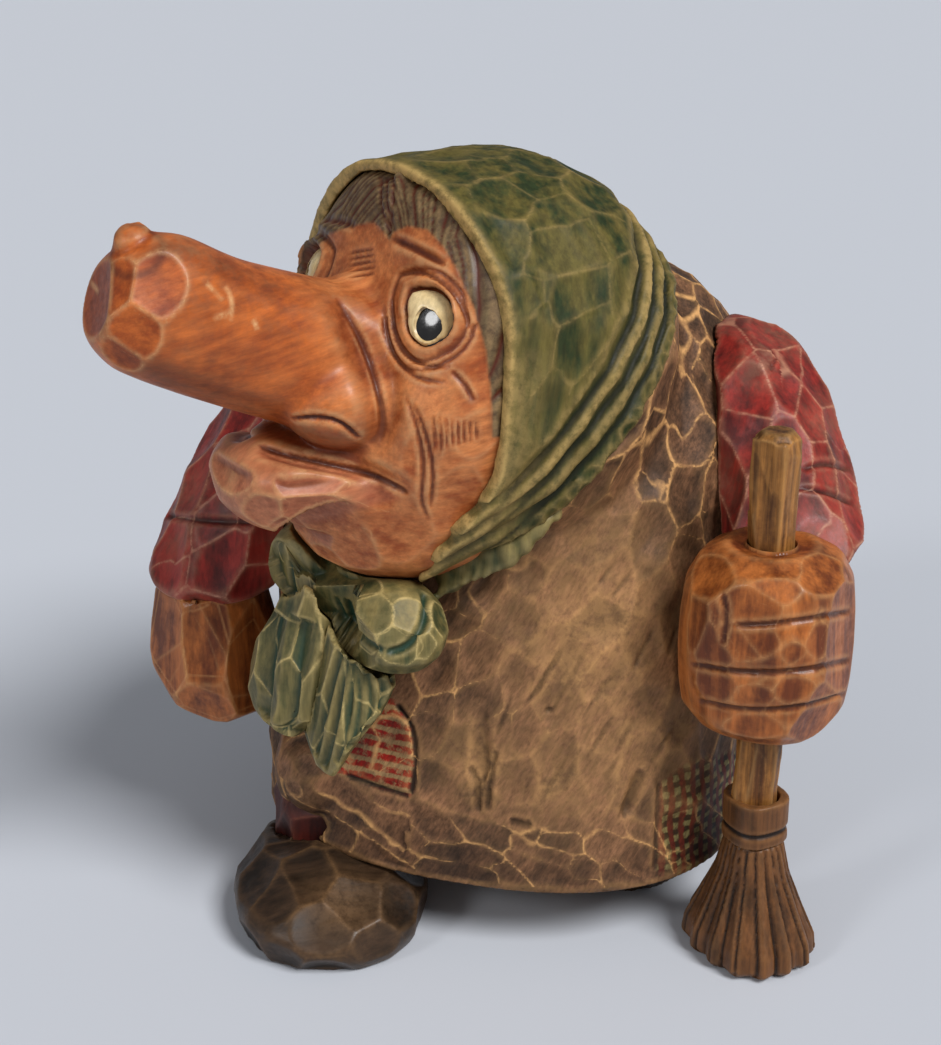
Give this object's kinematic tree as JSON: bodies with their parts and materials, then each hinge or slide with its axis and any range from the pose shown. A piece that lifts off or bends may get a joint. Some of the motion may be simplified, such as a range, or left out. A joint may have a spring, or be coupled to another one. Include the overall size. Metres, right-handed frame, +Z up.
{
  "type": "carved troll figure",
  "caption": "Hand-carved wooden troll in a long dress and knotted headscarf, standing with a loose broom through its left fist; a folk ornament for a shelf.",
  "frame": {"origin": "middle of the bounding box, on the floor that the boots and the broom stand on", "axes": "+Z up, -Y the way the body faces, +X towards its left hand and the broom"},
  "size_m": [0.1597, 0.1537, 0.169],
  "materials": {
    "dress_wood": "gouge-cut, grey-brown stain, waxed",
    "scarf_wood": "gouge-cut, olive green stain, waxed",
    "knot_wood": "carved, grey-green stain, waxed",
    "skin_wood": "carved, orange-brown stain, varnished",
    "hand_wood": "carved, orange-brown stain, waxed",
    "eye_wood": "smooth, cream paint, varnished",
    "pupil_paint": "smooth, black gloss paint",
    "sleeve_wood": "gouge-cut, red stain, waxed",
    "stocking_wood": "carved, red stain, waxed",
    "boot_wood": "carved, dark brown stain, waxed",
    "stick_wood": "whittled, thin clear wax",
    "broom_wood": "carved strands, brown stain, waxed",
    "dowel_wood": "turned, bare"
  },
  "bodies": {
    "figure": {"dress_body": "dress_wood", "headscarf": "scarf_wood", "head": "skin_wood", "nose": "skin_wood", "left_eye": "eye_wood", "right_eye": "eye_wood", "left_pupil": "pupil_paint", "right_pupil": "pupil_paint", "scarf_knot": "knot_wood", "left_scarf_tail": "knot_wood", "right_scarf_tail": "knot_wood", "left_sleeve": "sleeve_wood", "right_sleeve": "sleeve_wood", "left_fist": "hand_wood", "right_hand": "hand_wood", "left_leg": "stocking_wood", "right_leg": "stocking_wood", "left_boot": "boot_wood", "right_boot": "boot_wood", "neck_dowel": "dowel_wood", "scarf_dowel": "dowel_wood", "nose_dowel": "dowel_wood", "left_shoulder_dowel": "dowel_wood", "right_shoulder_dowel": "dowel_wood", "left_wrist_dowel": "dowel_wood", "right_wrist_dowel": "dowel_wood"},
    "broom_peg": {"broom_dowel": "dowel_wood"},
    "broom": {"broom_stick": "stick_wood", "broom_head": "broom_wood", "broom_band": "broom_wood"}
  },
  "joints": [
    {"name": "broom_lift", "type": "slide", "parent": "figure", "child": "broom_peg", "axis": [0, 0, 1], "range_m": [0, 0.0025]},
    {"name": "broom_turn", "type": "hinge", "parent": "broom_peg", "child": "broom", "pos_m": [0.06121, 0.00645, 0], "axis": [0, 0, 1], "continuous": true}
  ]
}
